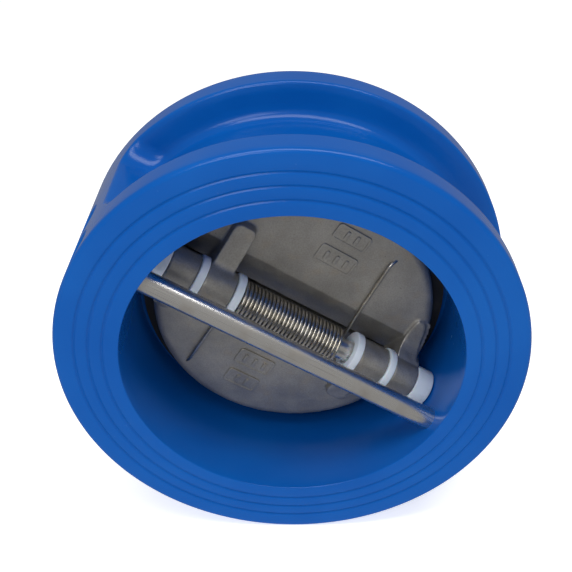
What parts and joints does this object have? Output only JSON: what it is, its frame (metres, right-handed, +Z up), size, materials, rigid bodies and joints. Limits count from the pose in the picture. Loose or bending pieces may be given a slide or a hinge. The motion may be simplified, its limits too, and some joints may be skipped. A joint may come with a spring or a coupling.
{
  "type": "wafer check valve",
  "caption": "Wafer-style dual-plate check valve: a short cast ring with a port bar, two spring-closed half discs on a shared hinge pin, and a stop pin across the outlet.",
  "frame": {"origin": "middle of the valve, on the flow axis halfway between the two gasket faces", "axes": "+Y along the flow axis towards the inlet face (flow runs towards -Y), +Z up as the valve stands on its rim"},
  "size_m": [0.162, 0.064, 0.162],
  "materials": {
    "blue_epoxy": "gloss",
    "cast_stainless": "cast, satin",
    "pin_steel": "turned",
    "spring_steel": "drawn wire",
    "white_ptfe": "matte",
    "seat_rubber": "matte",
    "plug_steel": "machined",
    "gasket_fibre": "matte"
  },
  "bodies": {
    "housing": {"valve_body": "blue_epoxy", "rubber_seat": "seat_rubber", "hinge_pin": "pin_steel", "stop_pin": "pin_steel", "closing_spring": "spring_steel", "body_bearing_right": "white_ptfe", "plate_bearing_right": "white_ptfe", "spring_bearing_right": "white_ptfe", "body_bearing_left": "white_ptfe", "plate_bearing_left": "white_ptfe", "spring_bearing_left": "white_ptfe", "hinge_pin_gasket_right": "gasket_fibre", "hinge_pin_retainer_right": "plug_steel", "stop_pin_gasket_right": "gasket_fibre", "stop_pin_retainer_right": "plug_steel", "hinge_pin_gasket_left": "gasket_fibre", "hinge_pin_retainer_left": "plug_steel", "stop_pin_gasket_left": "gasket_fibre", "stop_pin_retainer_left": "plug_steel"},
    "upper_plate": {"plate_upper": "cast_stainless"},
    "lower_plate": {"plate_lower": "cast_stainless"}
  },
  "joints": [
    {"name": "upper_plate_hinge", "type": "hinge", "parent": "housing", "child": "upper_plate", "pos_m": [0, -0.0069, 0], "axis": [0.8499, 0, -0.527], "range_deg": [0, 83], "stiffness_Nm_per_rad": 0.08, "springref_deg": -120.32, "deforming": ["closing_spring"]},
    {"name": "lower_plate_hinge", "type": "hinge", "parent": "housing", "child": "lower_plate", "pos_m": [0, -0.0069, 0], "axis": [-0.8499, 0, 0.527], "range_deg": [0, 83], "stiffness_Nm_per_rad": 0.08, "springref_deg": -120.32}
  ]
}
